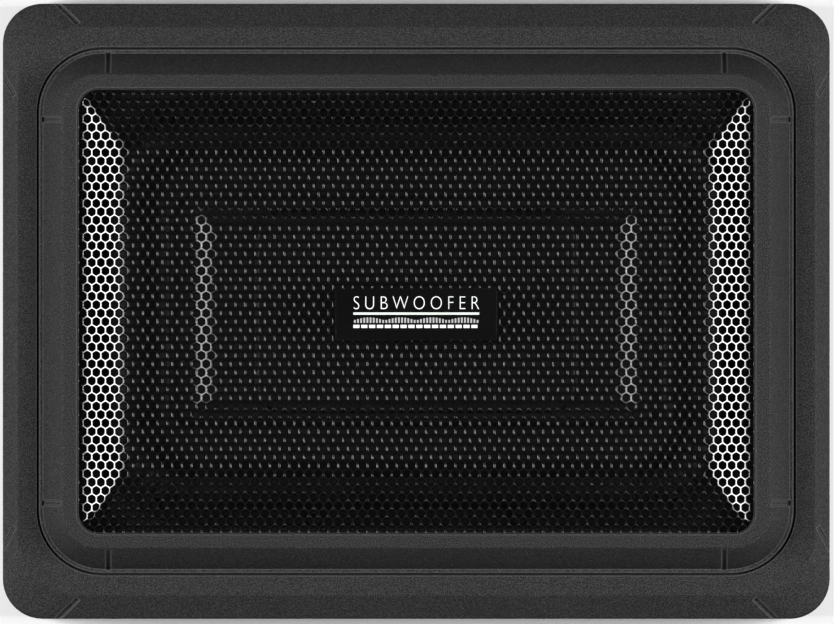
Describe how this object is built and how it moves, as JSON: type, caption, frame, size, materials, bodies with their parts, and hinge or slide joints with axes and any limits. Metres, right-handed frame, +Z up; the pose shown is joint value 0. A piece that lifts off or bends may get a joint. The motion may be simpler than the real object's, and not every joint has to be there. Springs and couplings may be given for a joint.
{
  "type": "powered car subwoofer",
  "caption": "Low rectangular active subwoofer for under a car seat, with a stepped hexagon-mesh grille over a flat woofer, amplifier inside and controls in an end bay.",
  "frame": {"origin": "centre of the footprint, on the surface the rubber feet stand on", "axes": "+X along the long side towards the bay with the sockets and controls, +Y across the short side, +Z up out of the grille"},
  "size_m": [0.34, 0.253, 0.0764],
  "materials": {
    "powder_coat": "fine textured matte powder coat on die-cast aluminium",
    "frame_coat": "fine textured matte powder coat",
    "panel_coat": "satin black powder coat",
    "base_steel": "satin black powder-coated sheet steel",
    "basket_steel": "satin black stamped steel",
    "mesh_steel": "semi-gloss black on perforated steel",
    "badge_black": "satin black with pale printed graphics",
    "black_screw": "black oxide",
    "zinc_steel": "bright zinc plated",
    "aluminium_bar": "extruded, satin",
    "nickel_plate": "bright nickel",
    "tinned_pins": "tinned",
    "brass": "turned brass",
    "copper_wire": "enamelled copper",
    "foam_seal": "closed-cell foam",
    "foot_rubber": "moulded rubber",
    "surround_rubber": "smooth butyl rubber",
    "black_plastic": "moulded, fine texture",
    "white_plastic": "moulded nylon",
    "knob_plastic": "moulded, satin",
    "slider_plastic": "moulded, satin",
    "diaphragm_black": "mineral-filled polypropylene, satin",
    "cone_paper": "pressed pulp, black",
    "coil_former": "rolled foil",
    "spider_cloth": "resin-dipped cloth",
    "ferrite": "sintered ferrite, matte",
    "phenolic": "paper phenolic",
    "wire_red": "PVC insulated",
    "wire_black": "PVC insulated",
    "circuit_board": "green solder mask",
    "epoxy_black": "moulded epoxy",
    "capacitor_sleeve": "shrink sleeve",
    "fuse_amber": "translucent amber",
    "led_lens": "clear blue lens"
  },
  "bodies": {
    "enclosure": {"upper_housing": "powder_coat", "bottom_plate": "base_steel", "bottom_gasket": "foam_seal", "bottom_plate_screws": "black_screw", "rubber_feet": "foot_rubber", "bracket_nuts": "zinc_steel", "grille_frame": "frame_coat", "grille_frame_screws": "black_screw", "grille_mesh": "mesh_steel", "mesh_retainer": "black_plastic", "mesh_screws": "black_screw", "badge_plate": "badge_black", "driver_basket": "basket_steel", "driver_gasket": "foam_seal", "driver_screws": "black_screw", "surround": "surround_rubber", "spider": "spider_cloth", "top_plate": "zinc_steel", "magnet": "ferrite", "t_yoke": "zinc_steel", "terminal_strip": "phenolic", "tinsel_leads": "copper_wire", "speaker_wire_red": "wire_red", "speaker_wire_black": "wire_black", "main_pcb": "circuit_board", "control_board": "circuit_board", "pcb_standoffs": "brass", "pcb_screws": "black_screw", "heat_sink_bar": "aluminium_bar", "power_transistors": "epoxy_black", "transistor_clamp": "zinc_steel", "toroid_core": "ferrite", "toroid_winding": "copper_wire", "capacitors": "capacitor_sleeve", "inductor_core": "ferrite", "inductor_coil": "copper_wire", "amplifier_chips": "epoxy_black", "end_panel": "panel_coat", "end_panel_screws": "black_screw", "power_socket": "black_plastic", "socket_pins": "tinned_pins", "fuse_holder": "black_plastic", "fuse": "fuse_amber", "level_input_socket": "white_plastic", "rca_block": "black_plastic", "rca_jacks": "nickel_plate", "remote_port": "black_plastic", "potentiometers": "black_plastic", "switch_bodies": "zinc_steel", "power_led": "led_lens"},
    "diaphragm_assembly": {"diaphragm": "diaphragm_black", "centre_plate": "diaphragm_black", "drive_cone": "cone_paper", "voice_coil_former": "coil_former", "voice_coil_winding": "copper_wire"},
    "level_knob": {"level_knob": "knob_plastic"},
    "lowpass_knob": {"lowpass_knob": "knob_plastic"},
    "bass_boost_knob": {"bass_boost_knob": "knob_plastic"},
    "phase_slider": {"phase_slider": "slider_plastic"},
    "mode_slider": {"mode_slider": "slider_plastic"}
  },
  "joints": [
    {"name": "diaphragm_excursion", "type": "slide", "parent": "enclosure", "child": "diaphragm_assembly", "axis": [0, 0, 1], "range_m": [-0.0045, 0.0045], "stiffness_N_per_m": 2200, "deforming": ["surround", "spider", "tinsel_leads"]},
    {"name": "level_turn", "type": "hinge", "parent": "enclosure", "child": "level_knob", "pos_m": [0.16, 0.023, 0.0175], "axis": [1, 0, 0], "range_deg": [-140, 140]},
    {"name": "lowpass_turn", "type": "hinge", "parent": "enclosure", "child": "lowpass_knob", "pos_m": [0.16, 0.0365, 0.0175], "axis": [1, 0, 0], "range_deg": [-140, 140]},
    {"name": "bass_boost_turn", "type": "hinge", "parent": "enclosure", "child": "bass_boost_knob", "pos_m": [0.16, 0.05, 0.0175], "axis": [1, 0, 0], "range_deg": [-140, 140]},
    {"name": "phase_switch", "type": "slide", "parent": "enclosure", "child": "phase_slider", "axis": [0, 1, 0], "range_m": [0, 0.003]},
    {"name": "mode_switch", "type": "slide", "parent": "enclosure", "child": "mode_slider", "axis": [0, 1, 0], "range_m": [0, 0.003]}
  ]
}
